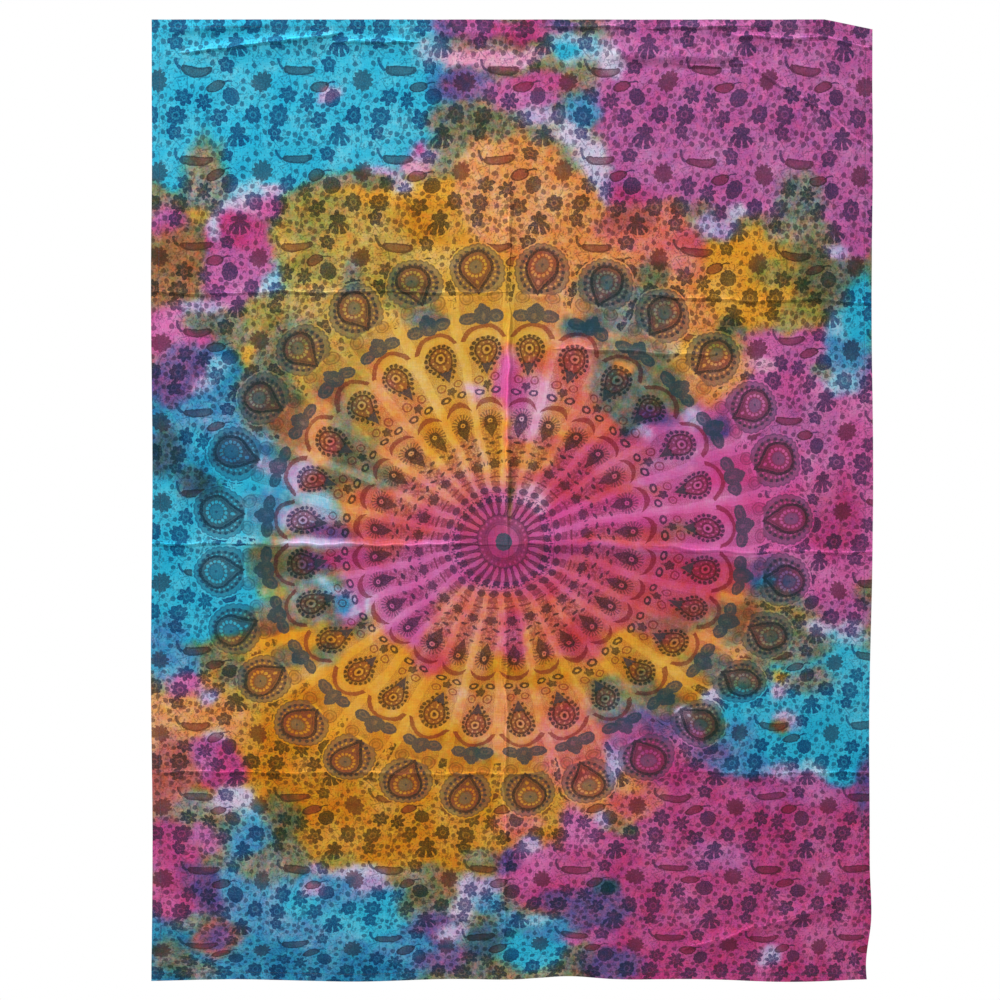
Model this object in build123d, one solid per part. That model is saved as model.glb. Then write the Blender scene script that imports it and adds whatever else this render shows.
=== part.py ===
from build123d import *
import os

# A printed, tie-dyed cotton wall hanging: one cloth with a double-turned hem along each edge.
# One lockstitched seam holds each hem: a needle thread in front and a bobbin thread behind.
# The origin is the middle of the top hem's back face, which lies on the wall.
# +Z is up, +X is to the viewer's right, and the printed face looks along -Y.

# The finished cloth
width = 762.0
height = 1016.0
cloth_thickness = 0.4

# A hem is the face layer with two turned layers behind it
hem_width = 10.0
turned_layers = 2

# The right end of the top edge isn't held and hangs a little lower
droop = 10.5
droop_length = 53.0

# The cloth swings from the lower edge of the held hem, which stays this far from it
swing_gap = 0.5

# Sewing thread, pressed flat against the cloth
thread_radius = 0.15
seam_inset = 8.0
seam_end_inset = 2.0

# Places that follow from these
half_width = width / 2
top = hem_width / 2
bottom = top - height
back = 0.0
face_back = back - turned_layers * cloth_thickness
face_front = face_back - cloth_thickness


def upright_slab(points, front, rear):
    """A flat piece with the outline points (x, z), from the plane y = front to y = rear."""
    outline = make_face(Polyline(*points, close=True))
    return extrude(Plane.XZ.offset(-rear) * outline, amount=rear - front)


def edge_drop(x):
    """How far the top edge hangs below its held height at x."""
    past_hold = x - (half_width - droop_length)
    return max(0.0, past_hold) * droop / droop_length


def top_line(depth, left, right):
    """Points from left to right, depth below the top edge, with the bend where the hold ends."""
    bend = half_width - droop_length
    stops = [left, bend, right] if left < bend < right else [left, right]
    return [(x, top - depth - edge_drop(x)) for x in stops]


def seam_run(start, end, plane_y, outward):
    """Half-round thread from start to end, as (x, z), flat on plane_y and round towards outward."""
    first = Vector(start[0], plane_y, start[1])
    along = Vector(end[0], plane_y, end[1]) - first
    section = Plane(origin=first, x_dir=Vector(0, outward, 0).cross(along), z_dir=along)
    rounding = section * Circle(thread_radius)
    rod = extrude(rounding, amount=along.length)
    cutter_size = 2 * max(width, height)
    cutter = Pos(0, plane_y - outward * cutter_size / 2, 0) * Box(cutter_size, cutter_size, cutter_size)
    return rod - Pos(0, 0, -height / 2) * cutter


def make_panel():
    """The face layer below the held hem, over the whole width."""
    start = hem_width + swing_gap
    outline = top_line(start, -half_width, half_width) + [(half_width, bottom), (-half_width, bottom)]
    return upright_slab(outline, face_front, face_back)


def make_top_hem():
    """All three layers of the top edge, which is what the wall holds."""
    upper = top_line(0.0, -half_width, half_width)
    lower = top_line(hem_width, -half_width, half_width)
    return upright_slab(upper + lower[::-1], face_front, back)


def make_side_hem(side):
    """Turned layers behind the left (-1) or right (+1) edge, between the top and bottom hems."""
    left, right = sorted((side * half_width, side * (half_width - hem_width)))
    end = bottom + hem_width
    outline = top_line(hem_width + swing_gap, left, right) + [(right, end), (left, end)]
    return upright_slab(outline, face_back, back)


def make_bottom_hem():
    """Turned layers behind the bottom edge, over the whole width."""
    inner = bottom + hem_width
    corners = [(-half_width, inner), (half_width, inner), (half_width, bottom), (-half_width, bottom)]
    return upright_slab(corners, face_back, back)


def seam_routes():
    """The end points of each hem's seam, in runs, on the cloth's face."""
    left = -half_width + seam_inset
    right = half_width - seam_inset
    low = bottom + seam_inset
    side_start = hem_width + swing_gap + seam_end_inset
    side_end = bottom + hem_width + seam_end_inset
    return {
        "top": top_line(seam_inset, -half_width + seam_end_inset, half_width - seam_end_inset),
        "bottom": [(-half_width + seam_end_inset, low), (half_width - seam_end_inset, low)],
        "left": [(left, top - side_start), (left, side_end)],
        "right": [(right, top - side_start - edge_drop(right)), (right, side_end)],
    }


def make_thread(route, plane_y, outward):
    """One thread of a seam, along every run of its route."""
    runs = [seam_run(a, b, plane_y, outward) for a, b in zip(route, route[1:])]
    thread = runs[0]
    for run in runs[1:]:
        thread = thread + run
    return thread


def make_nodes():
    """Every piece by its name."""
    hems = {
        "top": make_top_hem(),
        "bottom": make_bottom_hem(),
        "left": make_side_hem(-1),
        "right": make_side_hem(1),
    }
    nodes = {"cloth_panel": make_panel()}
    for edge, route in seam_routes().items():
        bobbin = make_thread(route, back, -1)
        nodes[f"{edge}_hem"] = hems[edge] - bobbin
        nodes[f"{edge}_needle_thread"] = make_thread(route, face_front, -1)
        nodes[f"{edge}_bobbin_thread"] = bobbin
    return nodes


os.makedirs("parts", exist_ok=True)
for name, shape in make_nodes().items():
    shape.label = name
    export_step(shape, f"parts/{name}.step")
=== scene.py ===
import math

import bpy
import numpy as np
from mathutils import Matrix, Vector


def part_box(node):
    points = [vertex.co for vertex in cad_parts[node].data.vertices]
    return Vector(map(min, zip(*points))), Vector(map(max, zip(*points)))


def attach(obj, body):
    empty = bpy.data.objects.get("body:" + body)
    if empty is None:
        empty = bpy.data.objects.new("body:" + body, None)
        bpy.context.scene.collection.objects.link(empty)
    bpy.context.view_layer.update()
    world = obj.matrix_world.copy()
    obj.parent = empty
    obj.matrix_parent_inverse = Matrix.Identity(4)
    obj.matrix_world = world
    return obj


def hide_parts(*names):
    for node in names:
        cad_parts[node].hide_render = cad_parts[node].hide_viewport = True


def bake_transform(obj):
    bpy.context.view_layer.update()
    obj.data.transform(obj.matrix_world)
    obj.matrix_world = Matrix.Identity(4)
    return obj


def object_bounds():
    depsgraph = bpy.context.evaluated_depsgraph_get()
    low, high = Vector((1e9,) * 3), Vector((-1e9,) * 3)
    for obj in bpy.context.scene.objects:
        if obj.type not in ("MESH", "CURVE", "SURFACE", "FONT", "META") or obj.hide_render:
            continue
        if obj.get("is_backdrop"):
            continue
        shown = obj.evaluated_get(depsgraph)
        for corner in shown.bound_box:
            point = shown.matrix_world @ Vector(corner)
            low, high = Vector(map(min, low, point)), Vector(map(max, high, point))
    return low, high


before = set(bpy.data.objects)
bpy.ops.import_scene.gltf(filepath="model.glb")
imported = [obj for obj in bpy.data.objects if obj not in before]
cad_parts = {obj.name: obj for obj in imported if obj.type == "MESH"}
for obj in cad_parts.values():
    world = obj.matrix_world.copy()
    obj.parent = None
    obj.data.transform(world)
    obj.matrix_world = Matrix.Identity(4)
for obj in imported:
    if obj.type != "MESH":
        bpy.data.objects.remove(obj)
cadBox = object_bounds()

# The cloth is planned flat, in millimetres: u runs across from its middle line and v runs down
# from its top edge. Pieces are made lying on a bench, print side up, and then hung on the wall.
mm = 0.001
hemLow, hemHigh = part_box("top_hem")
panelLow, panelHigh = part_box("cloth_panel")
sideLow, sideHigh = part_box("left_hem")
cloth = {
    "width": (hemHigh.x - hemLow.x) / mm,
    "height": (hemHigh.z - panelLow.z) / mm,
    "thickness": (panelHigh.y - panelLow.y) / mm,
    "hemWidth": (sideHigh.x - sideLow.x) / mm,
    "hemDepth": (sideHigh.y - sideLow.y) / mm,
    "seamInset": 8.0,  # seam line, from the edge
}
halfWidth = cloth["width"] / 2
cornerDroop = (hemHigh.z - hemLow.z) / mm - cloth["hemWidth"]


# soft noise and easing, for whole arrays of places at once

def eased(value, low, high):
    t = np.clip((value - low) / (high - low), 0, 1)
    return t * t * (3 - 2 * t)


def cloudNoise(u, v, size, seed):
    lattice = np.random.default_rng(seed).random((64, 64))
    a, b = u / size + 200, v / size + 200
    i, j = np.floor(a).astype(int), np.floor(b).astype(int)
    s, t = a - i, b - j
    s, t = s * s * (3 - 2 * s), t * t * (3 - 2 * t)
    corner = lambda x, y: lattice[x % 64, y % 64]
    upper = corner(i, j) * (1 - s) + corner(i + 1, j) * s
    lower = corner(i, j + 1) * (1 - s) + corner(i + 1, j + 1) * s
    return 2 * (upper * (1 - t) + lower * t) - 1


# how the cloth hangs: folds (from, to, height, width, lean) in the flat plan

hanging = {
    "restGap": 0.6,  # from the wall to the flattest places
    "standOff": 1.7,  # middle height of the slack, before the swells
    # slow waves in the slack: height, size, squeeze, seed
    "swells": [(0.7, 190, 1.0, 1), (0.55, 70, 1.0, 2), (0.45, 30, 1.6, 3), (0.2, 13, 1.0, 4)],
    "wander": (1.6, 26, 7),  # how a crease strays: amount, size, seed
    "looseFrom": 700.0,  # the free end ripples from here down
    "droopStart": 328.0,  # the unheld corner sags from here outwards
    "droopFade": 210.0,
    "slopeStep": 0.5,
    "folds": [
        # soft rolls and pinches along the top
        ((-345, 34), (-190, 17), 3.6, 6, 0.5),
        ((-372, 12), (-250, 6), 2.2, 5, 0.0),
        ((-185, 24), (-110, 23), 2.6, 4.5, 0.4),
        ((-120, 12), (20, 16), 2.6, 6, 0.3),
        ((40, 7), (115, 8), 3.0, 4.5, 0.3),
        ((150, 7), (270, 8), 2.8, 5, 0.3),
        ((225, 16), (305, 23), 3.2, 4.5, 0.5),
        ((90, 38), (250, 40), 3.4, 7, -0.5),
        ((90, 52), (240, 50), -1.6, 6, 0.0),
        # drag lines towards the sagging corner
        ((240, 44), (384, 122), 3.6, 7, 0.4),
        ((270, 36), (384, 88), 3.2, 6, 0.3),
        ((250, 70), (380, 168), 2.4, 8, 0.2),
        ((200, 84), (330, 176), 1.6, 9, 0.0),
        # packing folds
        ((-170, 288), (0, 288), -2.2, 6, -0.2),
        ((-381, 286), (-170, 290), 0.9, 7, 0.0),
        ((45, 349), (215, 347), 2.2, 6, 0.0),
        ((-60, 553), (384, 556), 2.8, 7, 0.2),
        ((-381, 552), (-60, 553), 1.6, 7, 0.0),
        ((-381, 796), (381, 792), 1.6, 7, 0.0),
        ((-8, 140), (-6, 560), 2.2, 7, 0.3),
        ((-6, 560), (-12, 1016), 1.3, 7, 0.0),
        # loose creases low down
        ((170, 986), (352, 924), 4.6, 5, 0.3),
        ((-262, 962), (-228, 978), 1.6, 4, 0.0),
        ((20, 1010), (110, 1004), 2.4, 9, 0.0),
        ((330, 905), (384, 880), 1.4, 7, 0.0),
    ],
}


def foldLift(u, v, fold):
    (u1, v1), (u2, v2), height, width, lean = fold
    length = math.hypot(u2 - u1, v2 - v1)
    alongU, alongV = (u2 - u1) / length, (v2 - v1) / length
    reach = (u - u1) * alongU + (v - v1) * alongV
    across = (v - v1) * alongU - (u - u1) * alongV
    amount, size, seed = hanging["wander"]
    across = across + amount * cloudNoise(u, v, size, seed)
    spread = width * (1 + lean * np.tanh(across / width))
    fade = eased(reach, -0.04 * length, 0.2 * length) * (1 - eased(reach, 0.8 * length, 1.04 * length))
    return height * fade * np.exp(-np.abs(across / spread) ** 1.5)


def liftAt(u, v):
    lift = hanging["standOff"]
    for height, size, squeeze, seed in hanging["swells"]:
        lift = lift + height * cloudNoise(u, v * squeeze, size, seed)
    loose = eased(v, hanging["looseFrom"], 1016)
    lift = lift + loose * (1.1 * np.sin(u / 41 + 0.6) + 0.8 * np.sin(u / 23 - v / 90))
    for fold in hanging["folds"]:
        lift = lift + foldLift(u, v, fold)
    return np.maximum(lift, 0)


def slideAt(u, v):
    # how far the print and cloth are pulled across and down, from where they lay on the bench
    past = np.maximum(u - hanging["droopStart"], 0)
    sag = cornerDroop * past / (halfWidth - hanging["droopStart"]) * np.exp(-v / hanging["droopFade"])
    drag = 9 * eased(u, 60, 260) * eased(v, 80, 260) * (1 - eased(v, 560, 760))
    drag = drag + 3 * eased(v, 500, 600) * (1 - eased(v, 920, 1010))
    drag = drag + 8 * eased(v, 870, 945) * (1 - eased(v, 960, 1016)) * (1 - eased(u, -330, 20))
    hitch = -6.0 * np.exp(-((u - 55) / 45) ** 2) * eased(v, 930, 1016)
    hitch = hitch + 1.2 * np.sin(u / 37) * eased(v, 960, 1016)
    pull = -6 * eased(u, 300, 381) * np.exp(-((v - 1000) / 38) ** 2)
    pull = pull - 3.5 * eased(u, 300, 381) * eased(v, 560, 800) * (1 - eased(v, 880, 960))
    pull = pull + 0.8 * np.sin(v / 61) * eased(np.abs(u), 330, 381) * eased(v, 60, 200)
    # stretched by hand on the wall: the middle drifts across, the side edges stay put
    drift = 2.2 + 4.5 * np.exp(-((u - 140) / 190) ** 2 - (v / 160) ** 2)
    drift = drift + 3.5 * np.exp(-((u - 231) / 70) ** 2) * eased(v, 280, 360)
    drift = drift + 3.0 * np.exp(-((u + 180) / 140) ** 2) * eased(v, 780, 860)
    drift = drift + 10 * np.exp(-((u + 325) / 60) ** 2) * eased(v, 790, 870)
    drift = drift - 3.5 * np.exp(-((u + 214) / 60) ** 2 - ((v - 400) / 70) ** 2)
    drift = drift - 4.0 * eased(u, 290, 345) * eased(v, 300, 420) * (1 - eased(v, 560, 640))
    pull = pull + drift * (1 - (np.abs(u) / halfWidth) ** 6)
    return pull, sag + drag + hitch


def hangUp(piece):
    mesh = piece.data
    spots = np.empty(len(mesh.vertices) * 3)
    mesh.vertices.foreach_get("co", spots)
    spots = spots.reshape(-1, 3) / mm
    u, v, front = spots[:, 0], -spots[:, 1], spots[:, 2]
    step = hanging["slopeStep"]
    slopeU = (liftAt(u + step, v) - liftAt(u - step, v)) / (2 * step)
    slopeV = (liftAt(u, v + step) - liftAt(u, v - step)) / (2 * step)
    pull, sag = slideAt(u, v)
    lift = liftAt(u, v)
    x = u + pull - front * slopeU
    y = -(hanging["restGap"] + cloth["hemDepth"] + lift + front)
    z = hemHigh.z / mm - v - sag + front * slopeV
    placed = np.stack([x, y, z], 1) * mm
    mesh.vertices.foreach_set("co", placed.ravel())
    mesh.update()


# where the dye went: pools of recipe, u, v, half across, half down and any turn, later over earlier

dyeRecipes = {  # strengths of the blue, pink and yellow baths
    "turquoise": (0.86, 0.04, 0.01),
    "azure": (0.66, 0.32, 0.03),
    "skyBlue": (0.34, 0.08, 0.0),
    "deepBlue": (0.90, 0.36, 0.07),
    "petrol": (0.76, 0.75, 0.28),
    "plum": (0.38, 1.05, 0.11),
    "mauve": (0.09, 0.98, 0.05),
    "pink": (0.03, 0.95, 0.04),
    "fuchsia": (0.0, 1.12, 0.05),
    "magenta": (0.07, 1.28, 0.11),
    "crimson": (0.03, 1.06, 0.36),
    "cherry": (0.02, 1.12, 0.22),
    "brick": (0.12, 0.85, 0.42),
    "salmon": (0.0, 0.65, 0.40),
    "rose": (0.0, 0.40, 0.05),
    "orange": (0.0, 0.33, 0.58),
    "gold": (0.0, 0.16, 0.92),
    "amber": (0.05, 0.28, 1.05),
    "yellow": (0.02, 0.12, 0.75),
    "ochre": (0.10, 0.22, 0.75),
    "olive": (0.20, 0.28, 0.68),
    "sage": (0.32, 0.48, 0.46),
    "moss": (0.41, 0.58, 0.55),
    "slate": (0.38, 0.52, 0.34),
    "rust": (0.20, 0.64, 0.60),
    "pale": (0.08, 0.15, 0.0),
    "lilac": (0.12, 0.32, 0.0),
}

dyePools = [
    # the four broad fields, then the warm middle
    ("turquoise", -300, 70, 130, 124), ("turquoise", -180, 60, 122, 108),
    ("mauve", 245, 80, 170, 122), ("mauve", 155, 118, 66, 76), ("mauve", 350, 150, 60, 96),
    ("mauve", 370, 10, 80, 60), ("mauve", 230, -6, 150, 40), ("turquoise", -375, 5, 50, 60),
    ("magenta", 370, 1000, 80, 60), ("magenta", 220, 1020, 130, 40), ("azure", -375, 1010, 60, 40),
    ("magenta", 240, 900, 200, 130), ("magenta", 80, 890, 100, 60), ("magenta", 320, 840, 90, 60),
    ("deepBlue", -250, 975, 190, 66), ("azure", -200, 935, 130, 40),
    ("turquoise", -150, 945, 60, 24),
    ("deepBlue", -325, 450, 80, 110), ("turquoise", -340, 570, 80, 100),
    ("pink", 300, 460, 130, 150), ("pink", 190, 450, 90, 80), ("turquoise", 320, 735, 110, 68),
    ("ochre", -150, 330, 120, 110), ("gold", -120, 235, 130, 72, -6), ("orange", 0, 180, 60, 66),
    ("orange", 60, 220, 90, 60, 10), ("orange", -60, 370, 90, 130), ("orange", 60, 300, 90, 110),
    ("orange", 190, 330, 60, 70, 20), ("gold", 245, 262, 60, 52), ("yellow", -60, 320, 90, 90, 20),
    ("salmon", -10, 480, 110, 60), ("salmon", 70, 400, 60, 70, -20), ("crimson", 90, 480, 70, 60),
    ("crimson", -100, 545, 90, 56), ("crimson", 90, 580, 150, 50), ("magenta", -10, 550, 70, 56),
    ("fuchsia", 110, 520, 110, 22, -6), ("pink", -120, 595, 80, 40, -20), ("salmon", 30, 630, 110, 50),
    ("amber", -200, 740, 170, 100, -8), ("amber", -110, 830, 170, 66), ("gold", -120, 700, 110, 60, -30),
    ("gold", -230, 672, 80, 34, -12), ("orange", 30, 700, 100, 80), ("orange", -345, 735, 60, 48),
    ("amber", 60, 670, 130, 34, -5), ("amber", 20, 815, 70, 50), ("salmon", 70, 770, 50, 50, 20),
    ("orange", 100, 820, 50, 30),
    # upper left
    ("skyBlue", -88, 36, 20, 16), ("lilac", -190, 80, 16, 11), ("turquoise", -240, 118, 60, 30),
    ("mauve", -42, 8, 42, 14), ("plum", -72, 13, 14, 9), ("rose", -30, 38, 50, 13),
    ("plum", -46, 67, 36, 18), ("mauve", -6, 80, 28, 17), ("slate", -64, 100, 22, 14),
    ("sage", -30, 113, 32, 13), ("lilac", -95, 136, 20, 11), ("rose", -106, 152, 18, 9),
    ("mauve", -98, 134, 7, 6), ("pale", -122, 173, 13, 10), ("lilac", -140, 162, 18, 8),
    ("sage", -165, 172, 36, 8), ("sage", -325, 160, 19, 38, 6), ("slate", -322, 180, 26, 20),
    ("skyBlue", -274, 181, 24, 10), ("pale", -286, 200, 26, 12), ("lilac", -256, 178, 14, 8),
    ("pink", -262, 197, 18, 12), ("magenta", -292, 236, 34, 34), ("mauve", -300, 272, 32, 30),
    ("pale", -314, 222, 9, 18), ("ochre", -335, 207, 13, 9), ("mauve", -368, 214, 18, 18),
    ("rust", -360, 264, 28, 44), ("skyBlue", -258, 282, 15, 26), ("pale", -262, 300, 12, 16),
    ("pink", -358, 330, 34, 28), ("lilac", -330, 302, 24, 8), ("slate", -322, 317, 24, 12),
    ("sage", -285, 335, 28, 22), ("plum", -352, 374, 34, 30), ("lilac", -324, 386, 15, 9),
    ("olive", -215, 242, 40, 62), ("yellow", -236, 232, 12, 20), ("olive", -110, 290, 30, 20),
    ("gold", -80, 222, 36, 22), ("ochre", -160, 270, 34, 24), ("slate", -92, 312, 18, 13),
    ("olive", -250, 315, 30, 26), ("sage", -230, 330, 20, 14), ("rose", -46, 395, 12, 10),
    # upper middle
    ("magenta", 14, 12, 36, 12), ("plum", 46, 8, 20, 7), ("skyBlue", 62, 30, 30, 15),
    ("turquoise", 52, 34, 12, 8), ("pale", 96, 44, 14, 18), ("rose", 6, 39, 26, 11),
    ("magenta", 22, 66, 38, 10), ("mauve", 20, 82, 28, 8), ("azure", 66, 92, 20, 19),
    ("lilac", 24, 99, 26, 11), ("slate", 31, 116, 10, 9), ("pale", 60, 118, 18, 14, 30),
    ("pale", 82, 152, 15, 34, -25), ("lilac", 98, 172, 12, 14), ("mauve", 113, 170, 12, 9),
    # upper right
    ("salmon", 140, 216, 52, 28), ("magenta", 126, 183, 24, 12), ("brick", 120, 205, 26, 14),
    ("crimson", 184, 232, 22, 17), ("salmon", 168, 256, 36, 24), ("lilac", 215, 210, 26, 10),
    ("pale", 238, 198, 14, 7), ("orange", 165, 290, 40, 22), ("olive", 272, 258, 20, 18),
    ("slate", 306, 184, 24, 28), ("sage", 318, 224, 36, 22), ("moss", 316, 268, 26, 40),
    ("olive", 300, 300, 24, 20), ("slate", 346, 268, 16, 22), ("mauve", 358, 214, 26, 27),
    ("lilac", 340, 238, 14, 9), ("turquoise", 370, 302, 20, 38), ("skyBlue", 345, 322, 14, 30),
    ("slate", 112, 286, 42, 18, 8), ("moss", 150, 262, 14, 14), ("slate", 118, 310, 34, 20),
    ("petrol", 74, 324, 24, 11), ("sage", 150, 300, 18, 22), ("moss", 228, 318, 16, 14),
    ("olive", 214, 336, 30, 11), ("pink", 268, 336, 34, 20), ("rose", 262, 352, 18, 8),
    ("mauve", 305, 346, 30, 16), ("azure", 352, 342, 24, 20), ("skyBlue", 348, 370, 20, 12),
    ("slate", 326, 362, 12, 9),
    # left
    ("azure", -322, 412, 36, 24), ("petrol", -366, 455, 18, 26), ("petrol", -334, 492, 22, 15, 30),
    ("azure", -272, 434, 26, 26), ("skyBlue", -312, 372, 12, 14), ("turquoise", -322, 452, 14, 14),
    ("turquoise", -270, 492, 44, 12, 12), ("turquoise", -366, 515, 24, 20),
    ("azure", -255, 520, 26, 20),
    ("sage", -262, 352, 34, 22), ("yellow", -280, 354, 11, 15), ("slate", -264, 398, 24, 36),
    ("moss", -238, 392, 20, 46), ("olive", -222, 350, 14, 18), ("rust", -236, 428, 18, 22),
    ("ochre", -206, 376, 24, 28), ("rust", -192, 396, 16, 14), ("orange", -202, 424, 22, 22),
    ("sage", -178, 432, 15, 30), ("orange", -212, 458, 22, 18), ("moss", -174, 458, 14, 18),
    ("salmon", -190, 452, 10, 12), ("lilac", -240, 484, 36, 14, 20), ("lilac", -226, 484, 12, 24),
    ("brick", -214, 492, 13, 11), ("skyBlue", -202, 514, 24, 11, 15), ("lilac", -222, 528, 30, 12),
    ("moss", -180, 496, 14, 10), ("orange", -162, 512, 26, 17), ("plum", -196, 540, 26, 9),
    ("lilac", -205, 551, 42, 5), ("plum", -210, 568, 26, 9), ("magenta", -172, 562, 30, 10),
    ("salmon", -140, 505, 24, 14), ("skyBlue", -202, 592, 20, 11, 10), ("moss", -250, 574, 34, 20, 10),
    ("slate", -232, 592, 24, 14), ("olive", -258, 600, 15, 9), ("moss", -214, 614, 20, 10),
    ("sage", -262, 622, 28, 16), ("lilac", -180, 608, 14, 16), ("azure", -184, 612, 8, 9),
    ("slate", -200, 630, 16, 13), ("pale", -150, 620, 12, 20), ("ochre", -206, 640, 12, 10),
    ("rust", -262, 640, 16, 9), ("orange", -134, 634, 20, 20), ("sage", -160, 636, 10, 12),
    ("azure", -366, 655, 22, 22), ("moss", -330, 674, 36, 12), ("olive", -300, 662, 22, 12),
    ("moss", -200, 666, 18, 10), ("sage", -240, 672, 18, 10), ("turquoise", -300, 612, 34, 14, -20),
    ("salmon", -60, 640, 30, 26), ("crimson", -80, 660, 14, 14), ("pink", -108, 626, 36, 24, 30),
    # middle
    ("fuchsia", -8, 386, 14, 36), ("rose", 18, 412, 20, 38), ("pink", 6, 400, 10, 20),
    ("orange", 46, 430, 13, 22), ("salmon", 66, 362, 26, 22), ("orange", 20, 462, 22, 12),
    ("sage", 130, 352, 44, 18), ("moss", 145, 378, 44, 30), ("slate", 112, 384, 30, 30),
    ("slate", 118, 412, 22, 22), ("moss", 178, 396, 14, 16), ("gold", 178, 350, 16, 18),
    ("orange", 186, 376, 14, 20), ("orange", 114, 364, 10, 8), ("plum", 146, 412, 22, 12),
    ("petrol", 118, 436, 14, 16), ("lilac", 187, 416, 12, 10), ("mauve", 148, 448, 38, 28),
    ("lilac", 132, 432, 10, 9), ("salmon", 80, 440, 24, 30), ("crimson", 100, 474, 40, 16, -30),
    ("plum", 212, 424, 12, 20, 30), ("pink", 150, 478, 26, 10, -25), ("rose", 20, 500, 20, 12),
    ("rose", 24, 514, 11, 8), ("pink", 40, 540, 30, 10), ("magenta", 60, 556, 60, 7),
    ("pink", 10, 590, 44, 16), ("pink", 200, 552, 44, 12), ("mauve", 300, 420, 50, 30),
    ("magenta", 340, 510, 34, 44), ("fuchsia", 235, 470, 70, 12, -22), ("fuchsia", 250, 502, 90, 9, -11),
    ("magenta", 150, 562, 90, 9, 2), ("crimson", 160, 590, 70, 14, 8),
    ("plum", 262, 574, 28, 18), ("deepBlue", 256, 588, 12, 12), ("plum", 290, 584, 16, 12),
    ("slate", 280, 604, 42, 12, 10), ("ochre", 284, 616, 30, 7, 14), ("moss", 272, 640, 42, 24),
    ("rust", 238, 622, 20, 22), ("brick", 184, 616, 22, 14), ("brick", 150, 640, 30, 14),
    ("orange", 116, 616, 20, 18), ("salmon", 90, 640, 26, 14), ("gold", 104, 656, 30, 14),
    ("orange", 222, 600, 14, 14), ("orange", 196, 648, 22, 13), ("orange", 226, 660, 16, 12),
    ("slate", 206, 672, 16, 12), ("pale", 325, 638, 18, 12), ("slate", 306, 656, 20, 16),
    ("skyBlue", 352, 648, 22, 12), ("mauve", 350, 612, 34, 20), ("turquoise", 352, 672, 34, 16),
    ("lilac", 356, 634, 16, 8),
    # lower left
    ("azure", -360, 682, 24, 22), ("pink", -348, 702, 16, 12), ("lilac", -326, 712, 12, 10),
    ("sage", -300, 690, 16, 12), ("ochre", -290, 712, 20, 12), ("orange", -330, 752, 30, 12),
    ("pale", -318, 762, 11, 10), ("magenta", -310, 790, 26, 26), ("mauve", -332, 780, 16, 18),
    ("brick", -362, 800, 24, 40), ("slate", -336, 824, 13, 13), ("lilac", -300, 826, 22, 14),
    ("pale", -286, 824, 16, 16), ("skyBlue", -272, 848, 16, 16), ("azure", -284, 866, 26, 24),
    ("moss", -248, 848, 17, 30), ("sage", -240, 880, 26, 16), ("slate", -262, 892, 18, 12),
    ("magenta", -360, 880, 26, 34), ("mauve", -326, 864, 14, 17), ("plum", -330, 918, 30, 26),
    ("magenta", -366, 922, 18, 18), ("slate", -344, 944, 22, 9), ("brick", -318, 966, 24, 22),
    ("plum", -318, 966, 14, 14), ("slate", -364, 984, 20, 24), ("slate", -344, 1004, 22, 12),
    ("lilac", -200, 892, 14, 8), ("pale", -165, 896, 30, 9), ("olive", -190, 884, 14, 9),
    ("lilac", -150, 908, 26, 8), ("olive", -126, 900, 14, 11), ("sage", -108, 904, 28, 12),
    ("moss", -92, 924, 32, 17), ("rust", -68, 908, 14, 12), ("pale", -50, 916, 12, 20),
    ("pale", -58, 940, 12, 12), ("lilac", -34, 912, 18, 17), ("azure", -28, 932, 16, 11),
    ("plum", -92, 954, 26, 17), ("lilac", -68, 962, 18, 9), ("azure", -124, 974, 30, 20),
    ("petrol", -30, 972, 26, 20), ("plum", -76, 992, 30, 18), ("slate", -44, 1000, 18, 12),
    ("sage", -40, 880, 18, 9), ("salmon", 2, 848, 24, 11), ("pink", 6, 886, 28, 26),
    ("lilac", 14, 868, 12, 10), ("plum", -14, 880, 14, 14), ("azure", -8, 952, 20, 16),
    ("azure", -306, 908, 16, 20), ("turquoise", -230, 922, 20, 18), ("lilac", -216, 912, 14, 8),
    # lower right
    ("moss", 96, 704, 18, 15), ("gold", 80, 684, 24, 12), ("slate", 118, 726, 34, 16),
    ("moss", 146, 702, 28, 20), ("gold", 166, 684, 24, 16, 20), ("amber", 186, 700, 14, 16),
    ("plum", 146, 746, 44, 17), ("mauve", 124, 764, 26, 17), ("magenta", 150, 776, 26, 18),
    ("lilac", 106, 786, 11, 26), ("pale", 176, 727, 10, 10), ("pale", 204, 712, 15, 13),
    ("mauve", 180, 760, 16, 14), ("plum", 206, 776, 24, 14), ("azure", 230, 756, 26, 20),
    ("moss", 204, 742, 12, 16), ("sage", 246, 686, 22, 18), ("gold", 282, 690, 12, 9),
    ("pale", 292, 694, 9, 8), ("lilac", 278, 706, 9, 10), ("slate", 314, 692, 24, 14),
    ("lilac", 286, 735, 14, 10), ("rust", 281, 745, 9, 7), ("azure", 240, 788, 34, 12),
    ("lilac", 284, 794, 24, 11), ("skyBlue", 320, 792, 14, 10), ("plum", 372, 806, 14, 26),
    ("crimson", 128, 824, 24, 14), ("rust", 92, 846, 26, 8), ("sage", 118, 856, 12, 8),
    ("pink", 66, 850, 24, 22), ("lilac", 92, 838, 10, 12), ("mauve", 210, 880, 34, 18),
    ("mauve", 300, 812, 60, 12), ("plum", 84, 944, 42, 24), ("plum", 44, 930, 20, 9),
    ("petrol", 96, 918, 16, 9), ("turquoise", 20, 988, 36, 26), ("azure", 34, 966, 26, 16),
    ("skyBlue", 20, 950, 16, 7), ("slate", 62, 1000, 18, 12), ("plum", 106, 1000, 32, 15),
    ("mauve", 96, 972, 20, 9), ("lilac", 268, 985, 13, 13), ("mauve", 60, 976, 14, 8),
    # round the heart
    ("orange", -95, 440, 54, 36, -20), ("gold", -66, 436, 34, 40, -20), ("orange", -36, 462, 34, 26),
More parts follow.
